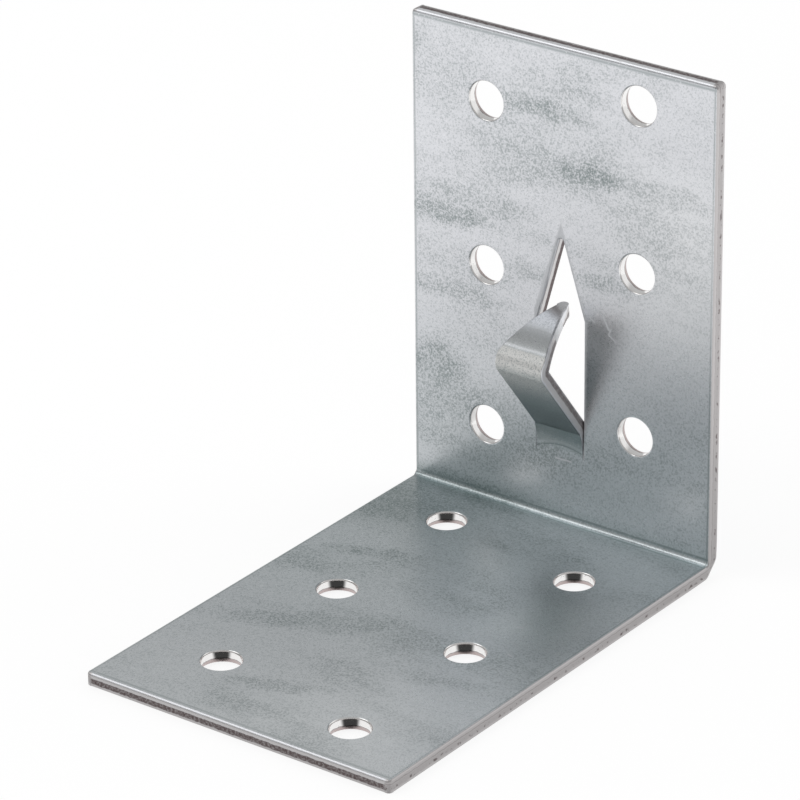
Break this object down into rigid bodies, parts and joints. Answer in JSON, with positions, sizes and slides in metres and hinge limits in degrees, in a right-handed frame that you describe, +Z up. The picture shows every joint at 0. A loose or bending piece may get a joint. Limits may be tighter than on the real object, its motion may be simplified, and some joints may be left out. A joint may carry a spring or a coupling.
{
  "type": "corner brace bracket",
  "caption": "Right-angle corner brace folded from galvanised steel sheet, with staggered screw holes in both legs and a lanced, pointed claw standing out of the upright leg.",
  "frame": {"origin": "on the underside, below the middle of the base leg", "axes": "+X along the fold, +Y from the base leg's free edge back to the upright leg, +Z up the upright leg"},
  "size_m": [0.04, 0.06, 0.058],
  "materials": {
    "galvanised_steel": "satin"
  },
  "bodies": {
    "root": {"bracket": "galvanised_steel"}
  },
  "joints": []
}
